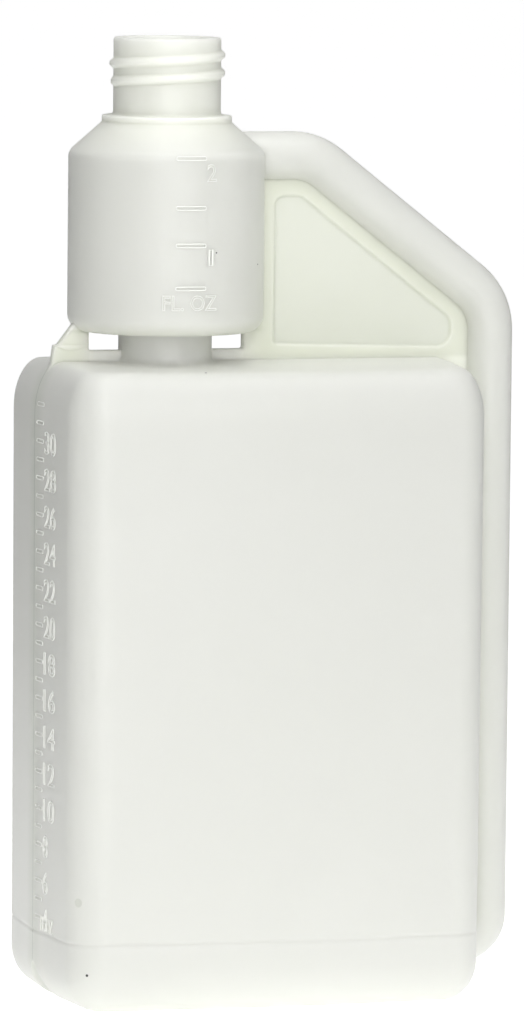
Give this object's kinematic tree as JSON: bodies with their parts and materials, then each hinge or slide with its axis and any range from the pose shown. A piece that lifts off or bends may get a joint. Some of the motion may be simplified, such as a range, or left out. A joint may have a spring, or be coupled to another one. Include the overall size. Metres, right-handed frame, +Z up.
{
  "type": "dosing bottle",
  "caption": "Translucent squeeze bottle with a rectangular reservoir and a round measuring chamber under a threaded neck, fed by a side tube.",
  "frame": {"origin": "middle of the overall width and depth, on the plane the bottle stands on", "axes": "+Z up along the neck axis, +X from the neck side towards the transfer tube, -Y the front face seen in the picture"},
  "size_m": [0.1182, 0.0686, 0.2282],
  "materials": {
    "natural_polyethylene": "satin",
    "plug_polyethylene": "satin"
  },
  "bodies": {
    "root": {"bottle": "natural_polyethylene", "chamber_plug": "plug_polyethylene"}
  },
  "joints": []
}
